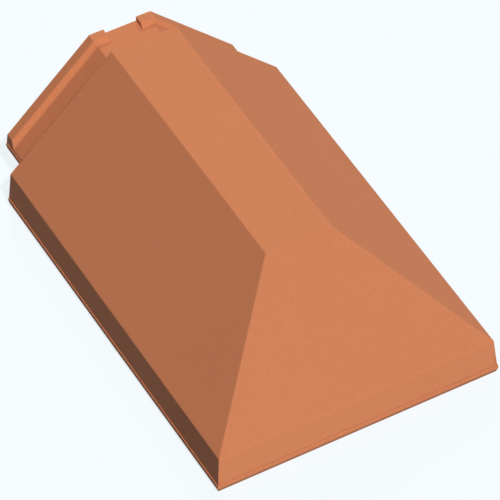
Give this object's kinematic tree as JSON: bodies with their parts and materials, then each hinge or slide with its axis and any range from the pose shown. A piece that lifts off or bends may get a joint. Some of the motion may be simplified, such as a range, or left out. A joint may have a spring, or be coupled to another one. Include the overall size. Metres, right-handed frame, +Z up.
{
  "type": "closed angular ridge-end roof tile",
  "caption": "Hollow fired-clay ridge-end tile: a hipped hood with a flat ridge strip and a lipped skirt, and a stepped-in spigot with a weather rib that slides under the next ridge tile.",
  "frame": {"origin": "middle of the tile's length and width, on the level plane that its foot stands on", "axes": "+Z up, +Y along the ridge from the hipped closed end towards the spigot, +X across the tile"},
  "size_m": [0.246, 0.3776, 0.1247],
  "materials": {
    "fired_clay": "matte unglazed natural red clay"
  },
  "bodies": {
    "root": {"ridge_end_tile": "fired_clay"}
  },
  "joints": []
}
